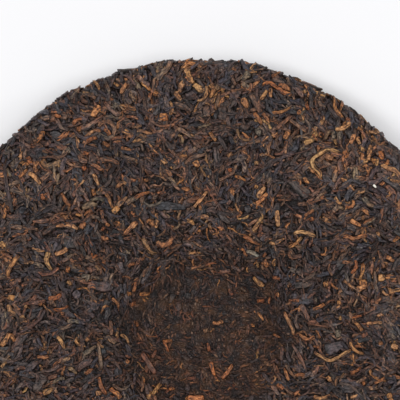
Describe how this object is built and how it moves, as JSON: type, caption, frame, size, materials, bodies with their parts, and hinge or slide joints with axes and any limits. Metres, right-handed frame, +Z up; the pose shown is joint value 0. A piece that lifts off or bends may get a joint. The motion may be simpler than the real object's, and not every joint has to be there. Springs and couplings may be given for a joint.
{
  "type": "pu erh tea cake",
  "caption": "Round disc of pressed dark tea leaf with a domed face, a rounded uneven rim and a dimple in the middle of its back.",
  "frame": {"origin": "middle of the flat foot that the cake rests on, under the centre of its bounding box", "axes": "+Z up, out of the dimpled back; X and Y lie in the plane of the disc"},
  "size_m": [0.1996, 0.1986, 0.0251],
  "materials": {
    "dark_leaf": "matte, dry pressed leaf with a faint sheen",
    "brown_leaf": "matte, dry pressed leaf",
    "golden_bud": "matte, downy dry leaf bud",
    "leaf_stem": "satin, dry woody stem"
  },
  "bodies": {
    "root": {"tea_cake": "dark_leaf"}
  },
  "joints": []
}
